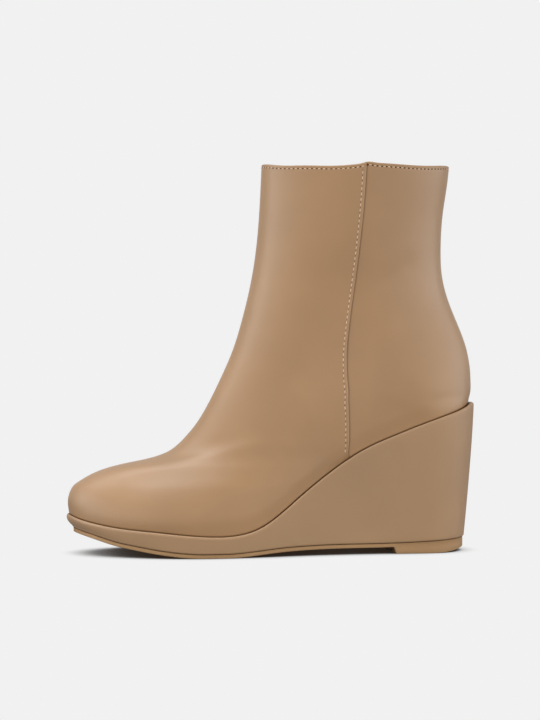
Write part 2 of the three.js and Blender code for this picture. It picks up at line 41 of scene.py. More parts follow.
# The boot's own sizes, the same as its solids have.
boot = {
    "length": 242.0, "ballWidth": 84.0, "height": 228.4,
    "heelHeight": 88.0, "ballHeight": 12.2, "toeHeight": 23.0,
    "instepHeight": 71.0, "instepReach": 72.1,
    "collarLength": 112.5, "collarWidth": 68.0, "collarSetback": 49.85,
    "collarDip": 2.8, "collarRound": 0.6,
    "wall": 2.0, "seamStep": 0.9, "seamFade": 16.0, "seamRise": 5.0,
    "heelSwell": 1.7, "toeSwell": 0.9, "sideSwell": 0.8,
    "rimReveal": 2.2, "toeReveal": 1.6, "heelReveal": 3.4,
    "rimLip": 1.5, "rimRound": 1.5, "bottomRound": 1.0,
    "wedgeHeelDraft": 6.1, "wedgeToeDraft": 3.2, "wedgeHeelBend": 1.3, "wedgeToeBend": 2.0,
    "wedgeSideLean": 2.5,
    "soleThickness": 2.2, "soleInset": 0.8, "toeSpring": 13.0, "archRise": 3.7,
    "treadLength": 16.0, "treadReach": 83.0,
    "heelPadLength": 46.5, "heelPadSlant": 1.8, "heelTreadLength": 22.0, "heelLift": 3.0,
    "marginThickness": 1.5, "footbedThickness": 3.0, "footbedGap": 0.5, "clearance": 0.3,
    "toeRounding": 0.32, "heelRounding": 0.125, "legLow": 2.0, "legHigh": 78.0, "featherBlend": 14.0,
    "instepSoftening": 13.0, "softeningDepth": 42.0,
}
toeX, heelX = boot["length"] / 2, -boot["length"] / 2
featherToeX, featherHeelX = toeX - boot["toeReveal"], heelX + boot["heelReveal"]
featherLength = featherToeX - featherHeelX
featherDrop = boot["rimLip"] - boot["clearance"]
instepX = toeX - boot["instepReach"]
collarFrontX = boot["collarLength"] / 2 - boot["collarSetback"]
collarBackX = -boot["collarLength"] / 2 - boot["collarSetback"]
collarTopZ = boot["height"] - boot["collarRound"]
halfBall, halfCollar = boot["ballWidth"] / 2, boot["collarWidth"] / 2
treadFrontX = toeX - boot["treadReach"] + boot["treadLength"] / 2
treadBackX = treadFrontX - boot["treadLength"]
soleToeX = toeX - boot["wedgeToeDraft"] - boot["soleInset"]
soleHeelX = heelX + boot["wedgeHeelDraft"] + boot["soleInset"]
padFrontX = soleHeelX + boot["heelPadLength"]

# Section tables: the first column is the share along the line, the others are shares of the named sizes.
tables = {
    "plan": ("at half centre", [
        (0, 0.68, 0), (0.12, 0.68, 0), (0.3, 0.66, 0.04), (0.42, 0.68, 0.09), (0.55, 0.8, 0.11),
        (0.64, 0.92, 0.07), (0.72, 0.985, 0.005), (0.8, 1, -0.045), (0.88, 1, -0.085), (1, 1, -0.1)]),
    "rim": ("at heel ball toe", [
        (0, 1, 0, 0), (0.02, 0.971, 0.005, 0), (0.05, 0.938, 0.02, 0), (0.13, 0.855, 0.09, 0),
        (0.21, 0.754, 0.22, 0), (0.29, 0.637, 0.38, 0), (0.37, 0.477, 0.54, 0), (0.45, 0.278, 0.77, 0),
        (0.5, 0.148, 0.91, 0), (0.55, 0.052, 0.98, 0), (0.6, 0.009, 1, 0), (0.67, 0, 1, 0),
        (0.8, 0, 0.8, 0.216), (0.9, 0, 0.5, 0.478), (0.96, 0, 0.22, 0.745), (0.985, 0, 0.08, 0.892),
        (1, 0, 0, 1)]),
    "front": ("at vamp vampUp shin shinUp swell", [
        (0, 0, 0, 0, 0, 0), (0.008, 0, 0.046, 0, 0, 0.3), (0.027, 0, 0.152, 0, 0, 1),
        (0.049, 0.013, 0.273, 0, 0, 1), (0.063, 0.038, 0.345, 0, 0, 1), (0.08, 0.075, 0.394, 0, 0, 1),
        (0.127, 0.211, 0.507, 0, 0, 1), (0.171, 0.36, 0.583, 0, 0, 1), (0.227, 0.559, 0.648, 0, 0, 1),
        (0.269, 0.707, 0.7, 0, 0, 0.85), (0.298, 0.804, 0.75, 0, 0, 0.65),
        (0.331, 0.897, 0.839, 0, 0, 0.35), (0.366, 1, 1, 0, 0, 0), (0.403, 1, 1, 0.132, 0.048, 0),
        (0.448, 1, 1, 0.266, 0.111, 0), (0.51, 1, 1, 0.433, 0.203, 0), (0.578, 1, 1, 0.597, 0.306, 0),
        (0.65, 1, 1, 0.724, 0.4175, 0), (0.743, 1, 1, 0.849, 0.559, 0), (0.836, 1, 1, 0.934, 0.712, 0),
        (0.918, 1, 1, 0.975, 0.8555, 0), (1, 1, 1, 1, 1, 0)]),
    "back": ("at back swell", [
        (0, 1, 0), (0.02, 1, 0.15), (0.05, 1, 0.8), (0.1, 1, 1), (0.145, 0.98, 0.98), (0.19, 0.915, 0.915),
        (0.24, 0.795, 0.795), (0.34, 0.395, 0.395), (0.44, -0.036, -0.036), (0.54, -0.31, -0.31),
        (0.66, -0.375, -0.375), (0.8, -0.285, -0.285), (0.9, -0.125, -0.125), (0.95, -0.05, -0.05),
        (1, 0, 0)]),
    "level": ("at front back half", [
        (0.1, 0.7, 0.27, 0.93), (0.15, 0.84, 0.27, 0.93), (0.19, 1.02, 0.27, 0.925),
        (0.23, 1.03, 0.27, 0.925), (0.27, 0.88, 0.27, 0.925), (0.31, 0.74, 0.28, 0.925),
        (0.37, 0.62, 0.31, 0.91), (0.45, 0.51, 0.4, 0.855), (0.55, 0.43, 0.48, 0.82),
        (0.65, 0.42, 0.48, 0.83), (0.8, 0.46, 0.48, 0.9), (1, 0.6, 0.5, 1)]),
    "topline": ("at dip", [
        (0, 0), (0.06, 0.25), (0.12, 0.5), (0.25, 0.66), (0.39, 0.48), (0.45, 0.33), (0.49, 0.2),
        (0.52, 0.5), (0.57, 0.8), (0.65, 1), (0.82, 0.82), (0.94, 0.54), (1, 0)]),
    "seam": ("at along", [
        (0, 0.324), (0.06, 0.332), (0.12, 0.348), (0.2, 0.377), (0.34, 0.43), (0.45, 0.461), (0.57, 0.483),
        (0.7, 0.4895), (0.85, 0.493), (1, 0.495)]),
    "toeUnder": ("at rise", [
        (0, 0), (0.1, 0.022), (0.25, 0.098), (0.4, 0.214), (0.55, 0.36), (0.7, 0.53), (0.85, 0.775),
        (1, 1)]),
    "archUnder": ("at rise", [
        (0, 0), (0.06, 0.15), (0.12, 0.36), (0.18, 0.59), (0.28, 0.84), (0.45, 1), (0.67, 1.05),
        (0.86, 1.33), (1, 1.6)]),
}


def curveThrough(at, value):
    # The natural cubic spline: its second derivatives come from one small linear system.
    n = len(at)
    gap = np.diff(at)
    rate = np.diff(value) / gap
    system = np.eye(n)
    right = np.zeros(n)
    inner = np.arange(1, n - 1)
    system[inner, inner - 1] = gap[:-1]
    system[inner, inner] = 2 * (gap[:-1] + gap[1:])
    system[inner, inner + 1] = gap[1:]
    right[inner] = 6 * np.diff(rate)
    bend = np.linalg.solve(system, right)

    def read(share):
        share = np.asarray(share, float)
        i = np.clip(np.searchsorted(at, share, side="left") - 1, 0, n - 2)
        h, a, b = gap[i], at[i + 1] - share, share - at[i]
        cubic = (bend[i] * a ** 3 + bend[i + 1] * b ** 3) / (6 * h)
        return cubic + (value[i] / h - bend[i] * h / 6) * a + (value[i + 1] / h - bend[i + 1] * h / 6) * b
    return read


def curvesOf(table):
    names, rows = table[0].split(), np.array(table[1], float)
    return {name: curveThrough(rows[:, 0], rows[:, k]) for k, name in enumerate(names) if k}


curves = {name: curvesOf(table) for name, table in tables.items()}


def mix(a, b, share):
    return a + (b - a) * share


def ease(share):
    share = np.clip(share, 0, 1)
    return share * share * (3 - 2 * share)


def roundEnd(share):  # quarter ellipse over its length
    return np.sqrt(1 - (1 - np.clip(share, 0, 1)) ** 2)


def shareOfTurn(turn):
    return (1 - np.cos(np.pi * turn)) / 2


def turnOfShare(share):
    return np.arccos(1 - 2 * share) / np.pi


def featherShare(x):
    return np.clip((x - featherHeelX) / featherLength, 0, 1)


def rimHeight(x):
    at, rim = featherShare(x), curves["rim"]
    back = rim["heel"](at) * boot["heelHeight"] + rim["ball"](at) * boot["ballHeight"]
    return back + rim["toe"](at) * boot["toeHeight"]


def edgeHeight(x):
    return rimHeight(x) - featherDrop


heelEdgeZ, toeEdgeZ = float(edgeHeight(featherHeelX)), float(edgeHeight(featherToeX))


def featherPoint(turn):
    # Plan of the line where upper and wedge meet: half widths along the length,
    # closed at heel and toe by a quarter ellipse each.
    at, plan = shareOfTurn(turn), curves["plan"]
    half = plan["half"](at) * roundEnd(at / boot["heelRounding"]) * roundEnd((1 - at) / boot["toeRounding"])
    y = halfBall * (plan["centre"](at) + np.sign(np.sin(np.pi * turn)) * half)
    return featherHeelX + at * featherLength, y


def featherNormal(turn):
    x1, y1 = featherPoint(turn + 1e-3)
    x0, y0 = featherPoint(turn - 1e-3)
    size = np.hypot(x1 - x0, y1 - y0)
    return -(y1 - y0) / size, (x1 - x0) / size


def planPoint(turn, distance):
    x, y = featherPoint(turn)
    nx, ny = featherNormal(turn)
    return x + nx * distance, y + ny * distance


def frontPoint(at):
    front = curves["front"]
    x = featherToeX - (featherToeX - instepX) * front["vamp"](at) + boot["toeSwell"] * front["swell"](at)
    z = toeEdgeZ + (boot["instepHeight"] - toeEdgeZ) * front["vampUp"](at)
    x = x - (instepX - collarFrontX) * front["shin"](at)
    z = z + (collarTopZ - boot["instepHeight"]) * front["shinUp"](at)
    return x, z


def backPoint(at):
    back = curves["back"]
    x = collarBackX + (featherHeelX - collarBackX) * back["back"](at) - boot["heelSwell"] * back["swell"](at)
    return x, mix(heelEdgeZ, collarTopZ, at)


outlineShares = np.linspace(0, 1, 8001)
frontLine, backLine = frontPoint(outlineShares), backPoint(outlineShares)


def softFrontX(x, z):
    # The front outline averaged over a band of heights that widens with the distance behind it.
    def frontX(height):
        return np.interp(height, frontLine[1], frontLine[0])
    ahead = frontX(z)
    band = boot["instepSoftening"] * ease((ahead - x) / boot["softeningDepth"])
    return (frontX(z - band) + frontX(z + band) + 2 * ahead) / 4


def surfacePoint(turn, rise):
    # Rings lean from the heel down to the vamp. A point's half width is that of a level section there,
    # a foot's or a leg's half width closed by quarter ellipses, drawn in to the feather line at the edge.
    at = shareOfTurn(turn)
    frontX, frontZ = frontPoint(rise)
    backX, backZ = backPoint(rise)
    featherX, featherY = featherPoint(turn)
    sag = edgeHeight(featherX) - mix(heelEdgeZ, toeEdgeZ, at)
    x = mix(backX, frontX, at)
    dip = boot["collarDip"] * curves["topline"]["dip"](at) * rise ** 4
    z = mix(backZ, frontZ, at) + (1 - rise) * sag - dip
    share = featherShare(x)
    leg = ease((z - edgeHeight(x) - boot["legLow"]) / (boot["legHigh"] - boot["legLow"]))
    level = {name: curve(z / boot["height"]) for name, curve in curves["level"].items()}
    footHalf = halfBall * curves["plan"]["half"](share) + boot["sideSwell"]
    centre = halfBall * curves["plan"]["centre"](share) * (1 - leg)
    frontRound = roundEnd((softFrontX(x, z) - x) / (boot["collarLength"] * level["front"]))
    behind = np.interp(z, backLine[1], backLine[0])
    backRound = roundEnd((x - behind) / (boot["collarLength"] * level["back"]))
    half = mix(footHalf, halfCollar * level["half"], leg) * frontRound * backRound
    side = np.where(np.abs(np.sin(np.pi * turn)) < 1e-9, 0, np.sign(np.sin(np.pi * turn)))
    blend = ease((z - edgeHeight(featherX)) / boot["featherBlend"])
    return np.stack([x, mix(featherY, centre + side * half, blend), z], -1)


def surfaceNormal(turn, rise):
    step = 0.006
    around = surfacePoint(turn + step, rise) - surfacePoint(turn - step, rise)
    up = surfacePoint(turn, np.minimum(rise + step, 1)) - surfacePoint(turn, np.maximum(rise - step, 0))
    normal = np.cross(up, around)
    return normal / np.linalg.norm(normal, axis=-1, keepdims=True)


def seamTurn(rise, past):
    # The turn a distance past the side seam, measured level towards the toe.
    width = frontPoint(rise)[0] - backPoint(rise)[0]
    return turnOfShare(np.clip(curves["seam"]["along"](rise) + past / width, 0, 1))


def seamPast(turn, rise):
    width = frontPoint(rise)[0] - backPoint(rise)[0]
    return (shareOfTurn(turn) - curves["seam"]["along"](rise)) * width


def wallGrid(turn, rise, offset):
    return surfacePoint(turn, rise) + surfaceNormal(turn, rise) * np.asarray(offset)[..., None]


def quadsOf(rows, cols, wrap):
    i, j = np.meshgrid(np.arange(rows - 1), np.arange(cols if wrap else cols - 1), indexing="ij")
    a, b = i * cols + j, i * cols + (j + 1) % cols
    return np.stack([a, a + cols, b + cols, b], -1).reshape(-1, 4)


def shell(outer, inner, wrap=False):
    # Outer grid, inner grid turned round, and a strip along each open edge: one closed skin.
    rows, cols = outer.shape[:2]
    n = rows * cols
    quads = quadsOf(rows, cols, wrap)
    faces = [quads, quads[:, ::-1] + n]

    def strip(edge):
        faces.append(np.stack([edge[:-1], edge[1:], edge[1:] + n, edge[:-1] + n], -1))
    first = np.arange(cols + 1) % cols if wrap else np.arange(cols)
    strip(first)
    strip((first + (rows - 1) * cols)[::-1])
    if not wrap:
        strip((np.arange(rows) * cols)[::-1])
        strip(np.arange(rows) * cols + cols - 1)
    return np.concatenate([outer.reshape(-1, 3), inner.reshape(-1, 3)]), np.concatenate(faces)


def stack(rings):
    # Rings from the bottom up, heel first and the outer side before the inner.
    # Each end is closed side to side.
    rows, cols = rings.shape[:2]
    j = np.arange(cols // 2)
    cap = np.stack([j, j + 1, cols - j - 1, (cols - j) % cols], -1)
    faces = [quadsOf(rows, cols, True), cap, cap[:, ::-1] + (rows - 1) * cols]
    return rings.reshape(-1, 3), np.concatenate(faces)


def makePiece(name, skin, material, node):
    points, faces = skin[:2]
    mesh = bpy.data.meshes.new(name)
    mesh.vertices.add(len(points))
    mesh.vertices.foreach_set("co", (points * mm).ravel())
    mesh.loops.add(faces.size)
    mesh.loops.foreach_set("vertex_index", faces.ravel().astype(np.int32))
    mesh.polygons.add(len(faces))
    mesh.polygons.foreach_set("loop_start", (np.arange(len(faces)) * faces.shape[1]).astype(np.int32))
    mesh.update(calc_edges=True)
    mesh.validate()
    mesh.shade_smooth()
    if len(skin) > 2:
        mesh.attributes.new("paintedShade", "FLOAT", "POINT").data.foreach_set("value", skin[2].ravel())
    mesh.materials.append(material)
    piece = bpy.data.objects.new(name, mesh)
    bpy.context.collection.objects.link(piece)
    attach(piece, "root")
    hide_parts(node)
    print(name, len(points), "points")
    return piece


def ringTurns(perSide):
    side = np.linspace(0, 1, perSide + 1)
    return np.concatenate([side, -side[-2:0:-1]])


def linearColour(red, green, blue):
    value = np.array([red, green, blue]) / 255
    return (*np.where(value <= 0.04045, value / 12.92, ((value + 0.055) / 1.055) ** 2.4), 1)


def makeMaterial(name, look):
    # Colour drifts slowly over the piece and darkens to a painted shade colour where the point's shade
    # attribute says so, fine grain goes to the bump, and a coat gives the satin finish.
    material = bpy.data.materials.new(name)
    material.use_nodes = True
    nodes, links = material.node_tree.nodes, material.node_tree.links
    shader = nodes["Principled BSDF"]
    place = nodes.new("ShaderNodeTexCoord").outputs["Object"]

    def noise(scale, detail):
        texture = nodes.new("ShaderNodeTexNoise")
        texture.inputs["Scale"].default_value = scale
        texture.inputs["Detail"].default_value = detail
        links.new(place, texture.inputs["Vector"])
        return texture.outputs["Fac"]

    ramp = nodes.new("ShaderNodeValToRGB")
    ramp.color_ramp.elements[0].position, ramp.color_ramp.elements[1].position = 0.3, 0.7
    colour = np.array(look["colour"])
    ramp.color_ramp.elements[0].color = linearColour(*(colour * (1 - look["drift"])))
    ramp.color_ramp.elements[1].color = linearColour(*np.minimum(colour * (1 + look["drift"]), 255))
    links.new(noise(look["driftScale"], 3), ramp.inputs["Fac"])
    # Painted shade: the base colour goes towards a dark colour by the point's shade attribute, in the grooves,
    # along the seam and on the wedge's lip.
    shade = nodes.new("ShaderNodeAttribute")
    shade.attribute_name = "paintedShade"
    paintedShadeColour = nodes.new("ShaderNodeMixRGB")
    paintedShadeColour.inputs["Color2"].default_value = linearColour(*look["paintedShadeColour"])
    links.new(shade.outputs["Fac"], paintedShadeColour.inputs["Fac"])
    links.new(ramp.outputs["Color"], paintedShadeColour.inputs["Color1"])
    links.new(paintedShadeColour.outputs["Color"], shader.inputs["Base Color"])

    shine = nodes.new("ShaderNodeMapRange")
    shine.inputs["To Min"].default_value = look["roughness"] - look["roughSpread"]
    shine.inputs["To Max"].default_value = look["roughness"] + look["roughSpread"]
    links.new(noise(look["grainScale"] * 0.35, 4), shine.inputs["Value"])
    links.new(shine.outputs["Result"], shader.inputs["Roughness"])

    pores = nodes.new("ShaderNodeTexVoronoi")
    pores.inputs["Scale"].default_value = look["grainScale"]
    links.new(place, pores.inputs["Vector"])
    grain = nodes.new("ShaderNodeMath")
    grain.operation = "MULTIPLY_ADD"
    grain.inputs[1].default_value = 0.5
    links.new(pores.outputs["Distance"], grain.inputs[0])
    links.new(noise(look["grainScale"] * 1.6, 3), grain.inputs[2])
    bump = nodes.new("ShaderNodeBump")
    bump.inputs["Strength"].default_value = look["grain"]
    bump.inputs["Distance"].default_value = look["grainDepth"] * mm
    links.new(grain.outputs["Value"], bump.inputs["Height"])
    links.new(bump.outputs["Normal"], shader.inputs["Normal"])

    shader.inputs["Specular IOR Level"].default_value = look["specular"]
    shader.inputs["Coat Weight"].default_value = look["coat"]
    shader.inputs["Coat Roughness"].default_value = look["coatRoughness"]
    return material


# Each look's last colour is the dark colour painted in as shade where a piece marks it.
looks = {
    "smoothLeather": {
        "colour": (161, 125, 88), "drift": 0.03, "driftScale": 22, "roughness": 0.48, "roughSpread": 0.05,
        "grainScale": 1500, "grain": 0.35, "grainDepth": 0.06,
        "specular": 0.5, "coat": 0.42, "coatRoughness": 0.36, "paintedShadeColour": (112, 80, 52)},
    "wrapLeather": {
        "colour": (164, 130, 96), "drift": 0.03, "driftScale": 18, "roughness": 0.5, "roughSpread": 0.05,
        "grainScale": 1500, "grain": 0.35, "grainDepth": 0.06,
        "specular": 0.5, "coat": 0.32, "coatRoughness": 0.38, "paintedShadeColour": (112, 80, 52)},
    "soleRubber": {
        "colour": (166, 131, 93), "drift": 0.04, "driftScale": 30, "roughness": 0.66, "roughSpread": 0.06,
        "grainScale": 2200, "grain": 0.4, "grainDepth": 0.05,
        "specular": 0.4, "coat": 0.0, "coatRoughness": 0.5, "paintedShadeColour": (62, 40, 24)},
    "softLining": {
        "colour": (188, 155, 122), "drift": 0.04, "driftScale": 25, "roughness": 0.82, "roughSpread": 0.06,
        "grainScale": 1100, "grain": 0.5, "grainDepth": 0.08,
        "specular": 0.3, "coat": 0.0, "coatRoughness": 0.5, "paintedShadeColour": (120, 92, 66)},
    "thread": {
        "colour": (224, 195, 166), "drift": 0.05, "driftScale": 300, "roughness": 0.6, "roughSpread": 0.06,
        "grainScale": 3500, "grain": 0.6, "grainDepth": 0.05,
        "specular": 0.4, "coat": 0.0, "coatRoughness": 0.5, "paintedShadeColour": (120, 92, 66)},
    # Needle holes: a dark colour painted as the shade inside each hole.
    "holeShade": {
        "colour": (60, 38, 20), "drift": 0.1, "driftScale": 300, "roughness": 0.9, "roughSpread": 0.05,
        "grainScale": 3500, "grain": 0.3, "grainDepth": 0.05,
        "specular": 0.2, "coat": 0.0, "coatRoughness": 0.5, "paintedShadeColour": (40, 24, 12)},
}
finish = {name: makeMaterial(name, look) for name, look in looks.items()}
print("materials ready")

upperLook = {
    "leather": 1.0,        # thickness of the outer leather; the lining takes the rest of the wall
    "rows": 140,           # rows of points from the wedge to the collar
    "frontColumns": 110,   # points a side from the seam's edge to the toe
    "backColumns": 84,     # the same from the heel to under the front panel
    "tuck": 4.5,           # back panel reaching on under the front one
    "edgeRound": 0.45,     # rounding of the front panel's edge
    "seamStitch": 2.2,     # stitch row behind that edge
    "topStitch": 1.4,      # stitch row under the topline
    "seamGroove": 0.2,     # back panel pressed in along the front panel's edge
    "stitchSink": 0.2, "stitchSpread": 0.38,  # leather drawn in along a stitch row
    "topSink": 0.7,        # share of that sink along the topline's row
    "frontLift": 0.03,     # front panel's face just proud of the solid
    "edgePillow": 0.26,    # leather swelling between edge and stitches
    "pillowPlace": 1.05, "pillowSpread": 0.7,
    "paintedShade": 0.8, "edgeShadeWidth": 0.14,         # painted shade on the front panel's cut edge, for the seam's dark line
    "seamShade": 0.85, "seamShadeStart": -0.6, "seamShadeWidth": 0.45,  # painted shade beside it on the back panel
    "groovePlace": -0.15, "grooveSpread": 0.45,     # where the back panel is pressed in
    "lapStart": 0.2, "lapLength": 1.6, "lapFace": 0.01,  # front panel's inner face where it laps the back one
    "thinnest": 0.02,      # least thickness of a panel
    "innerBend": 0.35,     # inner face's share of the bend over the topline
    "footRows": 18, "footRise": 0.02,       # closer rows where the leather turns in at the wedge
    "turnIn": 1.2, "turnInHeight": 1.2,     # leather rounding in towards the wedge
    "turnInEase": 0.7,     # how much less it rounds in at heel and toe
    "footShadeStart": -0.25, "footShadeHeight": 0.55,  # painted shade down in the groove at the wedge
    "liningDrop": 2.6,     # lining's top under the topline
}
topDrops = np.array([8, 6.6, 5.4, 4.4, 3.6, 3.0, 2.5, 2.15, 1.85, 1.62, 1.4, 1.18, 0.95, 0.7, 0.45, 0.2, 0])
foldAngles = np.linspace(0, np.pi, 9)[1:]


def toplineScale(turn):
    # Height gained for each unit of rise, just under the topline.
    step = 0.03
    top, below = np.ones_like(turn), np.full_like(turn, 1 - step)
    return (surfacePoint(turn, top)[..., 2] - surfacePoint(turn, below)[..., 2]) / step


def riseGrid(topTurns):
    # Rises of every point: rows that widen slowly up to 8 mm below the topline, then closer ones,
    # each given as a drop from the edge.
    scale = toplineScale(topTurns)
    share = np.linspace(0, 1, upperLook["rows"])
    foot = upperLook["footRise"] * np.linspace(0, 1, upperLook["footRows"], endpoint=False)
    low = np.concatenate([foot, mix(upperLook["footRise"], 1, 0.6 * share + 0.4 * share ** 2)[:-1]])
    below = low[:, None] * (1 - topDrops[0] / scale)[None, :]
    return np.concatenate([below, 1 - topDrops[:, None] / scale[None, :]])


def gauss(distance, spread):
    return np.exp(-(distance / spread) ** 2)


def dropBelowTop(turn, rise, z):
    return surfacePoint(turn, np.ones_like(rise))[..., 2] - z


# Soft folds and fullness of the leather in the side view:
# one end's x and z, the other end's x and z, half width, height.
foldFade = 0.35  # share of a fold's length over which each end fades
folds = {
    "vampFullness": (104, 41, 8, 43, 5.0, 0.45),
    "vampHollow": (88, 51.5, 12, 53, 5.5, -0.45),
    "shaftFold": (-52, 153, -88, 175, 5.0, -0.22),
    "shaftFoldRidge": (-56, 166, -88, 186, 6.0, 0.16),
    "heelFold": (-52, 100, -86, 84, 6.0, 0.22),
    "anklePucker": (-33.5, 124, -35.5, 115, 1.6, -0.14),
    "instepHollow": (46, 57, 22, 62, 4.0, -0.25),
}


def creaseDepth(point):
    # Sum over the folds of height * exp(-(distance from the fold's line / half width)^2), fading at both ends.
    depth = np.zeros(point.shape[:-1])
    for startX, startZ, endX, endZ, width, height in folds.values():
        spanX, spanZ = endX - startX, endZ - startZ
        length = math.hypot(spanX, spanZ)
        along = ((point[..., 0] - startX) * spanX + (point[..., 2] - startZ) * spanZ) / length
        across = ((point[..., 0] - startX) * spanZ - (point[..., 2] - startZ) * spanX) / length
        ends = ease(along / (foldFade * length)) * ease((length - along) / (foldFade * length))
        depth += height * ends * gauss(across, width)
    return depth


def overTheTop(turnTop, offsetTop, bend):
    # Rows over the folded topline: half an ellipse from the outer face to the lining side, collarRound high.
    full = np.ones_like(turnTop)
    edge, normal = surfacePoint(turnTop, full), surfaceNormal(turnTop, full)
    middle = (offsetTop - boot["wall"]) / 2
    half = (offsetTop + boot["wall"]) / 2 * bend
    rows = []
    for angle in foldAngles:
        row = edge + normal * (middle + half * np.cos(angle))[:, None]
        row[:, 2] += boot["collarRound"] * np.sin(angle) * bend
        rows.append(row)
    return np.stack(rows)


def panel(turn, rise, outOffset, inOffset, shade):
    # A leather panel as a closed skin: carried over the topline and a little way down inside,
    # and rounded in at the wedge by a quarter ellipse, with painted shade down in the groove.
    points = surfacePoint(turn, rise)
    normals = surfaceNormal(turn, rise)
    drop = dropBelowTop(turn, rise, points[..., 2])
    row = gauss(drop - upperLook["topStitch"], upperLook["stitchSpread"])
    height = points[..., 2] - rimHeight(points[..., 0])
    out = outOffset - upperLook["stitchSink"] * upperLook["topSink"] * row + creaseDepth(points)
    turnIn = upperLook["turnIn"] * (1 - upperLook["turnInEase"] * normals[..., 0] ** 2)
    out = out - turnIn * (1 - roundEnd(height / upperLook["turnInHeight"]))
    # Painted shade down in the groove at the wedge.
    shade = np.maximum(shade, 1 - ease((height - upperLook["footShadeStart"]) / upperLook["footShadeHeight"]))
    outer = points + normals * out[..., None]
    inner = points + normals * np.minimum(inOffset, out - upperLook["thinnest"])[..., None]
    foldOut = overTheTop(turn[-1], out[-1], 1.0)
    foldIn = overTheTop(turn[-1], out[-1], upperLook["innerBend"])
    shades = np.zeros((2, len(outer) + len(foldOut), outer.shape[1]))
    shades[0, :len(outer)] = shade
    return *shell(np.concatenate([outer, foldOut]), np.concatenate([inner, foldIn])), shades


def frontPanelSkin():
    near = np.array([0, 0.012, 0.045, 0.1, 0.175, 0.27, 0.38, 0.5, 0.7, 0.9, 1.15, 1.4, 1.62, 1.82, 2.0, 2.2,
                     2.4, 2.6, 2.85, 3.2, 3.7, 4.3, 5.0, 6.0, 7.2])
    share = np.linspace(0, 1, upperLook["frontColumns"] + 1)[1:]

    def turnsAt(rise):  # rise: rows x columns for one side
        edge = seamTurn(rise[:, :len(near)], near[None, :])
        rest = seamTurn(rise[:, len(near):], near[-1])
        return np.concatenate([edge, mix(rest, 1, share[None, :])], 1)
    columns = len(near) + len(share)
    topTurns = turnsAt(np.ones((1, columns)))[0]
    rise = riseGrid(topTurns)
    turn = turnsAt(rise)
    point = surfacePoint(turn, rise)
    past = seamPast(turn, rise)
    height = point[..., 2] - rimHeight(point[..., 0])
    proud = boot["seamStep"] * (1 - ease(past / boot["seamFade"])) * ease(height / boot["seamRise"])
    fold = roundEnd(past / upperLook["edgeRound"])
    out = proud * fold + upperLook["frontLift"]
    pillow = upperLook["edgePillow"] * gauss(past - upperLook["pillowPlace"], upperLook["pillowSpread"])
    out += pillow * fold * ease(height / boot["seamRise"])
    row = gauss(past - upperLook["seamStitch"], upperLook["stitchSpread"])
    out -= upperLook["stitchSink"] * row * ease(height)
    lap = ease((past - upperLook["tuck"] - upperLook["lapStart"]) / upperLook["lapLength"])
    inside = mix(upperLook["lapFace"], -upperLook["leather"], lap)
    # Painted shade on the front panel's cut edge.
    shade = upperLook["paintedShade"] * (1 - ease(past / upperLook["edgeShadeWidth"]))
    full = np.concatenate([turn, -turn[:, -2::-1]], 1)
    both = lambda grid: np.concatenate([grid, grid[:, -2::-1]], 1)
    return panel(full, both(rise), both(out), both(inside), both(shade))


def backPanelSkin():
    near = np.array([-3, -2.2, -1.6, -1.2, -0.9, -0.7, -0.5, -0.36, -0.22, -0.08, 0.1, 0.5, 1.2, 2.4,
                     upperLook["tuck"]])
    share = np.linspace(0, 1, upperLook["backColumns"], endpoint=False)

    def turnsAt(rise):
        rest = seamTurn(rise[:, :len(share)], near[0]) * share[None, :]
        return np.concatenate([rest, seamTurn(rise[:, len(share):], near[None, :])], 1)
    rise = riseGrid(turnsAt(np.ones((1, len(share) + len(near))))[0])
    turn = turnsAt(rise)
    past = seamPast(turn, rise)
    full = np.concatenate([-turn[:, :0:-1], turn], 1)
    both = lambda grid: np.concatenate([grid[:, :0:-1], grid], 1)
    out = both(-upperLook["seamGroove"] * gauss(past - upperLook["groovePlace"], upperLook["grooveSpread"]))
    # Painted shade on the back panel beside the front panel's edge.
    shaded = ease((past - upperLook["seamShadeStart"]) / upperLook["seamShadeWidth"])
    shade = upperLook["seamShade"] * shaded
    return panel(full, both(rise), out, 0 * out - upperLook["leather"], both(shade))


def liningSkin():
    turns = ringTurns(120)
    top = 1 - upperLook["liningDrop"] / toplineScale(turns)
    share = np.linspace(0, 1, 110)
    rise = mix(0.012, top[None, :], (0.5 * share + 0.5 * share ** 2)[:, None])
    turn = np.broadcast_to(turns, rise.shape)
    left = (1 - rise / top[None, :]) * toplineScale(turns)[None, :]
    inner = wallGrid(turn, rise, -upperLook["leather"] - 0.06 + 0 * left)
    outer = wallGrid(turn, rise, -boot["wall"] + 0.25 * (1 - roundEnd(left / 0.6)))
    return shell(inner, outer, True)


makePiece("frontPanel", frontPanelSkin(), finish["smoothLeather"], "upper")
makePiece("backPanel", backPanelSkin(), finish["smoothLeather"], "upper")
makePiece("lining", liningSkin(), finish["softLining"], "upper")

wedgeLook = {
    "columns": 170, "lipRows": 18, "sideRows": 34, "bottomRows": 6, "lipFullness": 0.9,
    "fillerReach": 8.0, "seatReach": 4.0,  # seat and filler reaching in under the upper
    "lipShadeStart": 0.5, "lipShadeSpan": 0.8,     # painted shade on the lip's inner slope, by its angle
}


def undersideHeight(x):
    # Flat under the ball, with a curve each way from it to the toe and to the heel.
    ahead = np.clip((x - treadFrontX) / (soleToeX - treadFrontX), 0, 1)
    behind = np.clip((treadBackX - x) / (treadBackX - soleHeelX), 0, 1.1)
    toe = boot["toeSpring"] * curves["toeUnder"]["rise"](ahead)
    arch = boot["archRise"] * curves["archUnder"]["rise"](behind)
    return np.where(x > treadFrontX, toe, np.where(x < treadBackX, arch, 0))


def wedgeBottom(x):
    return undersideHeight(x) + boot["soleThickness"] + boot["clearance"]


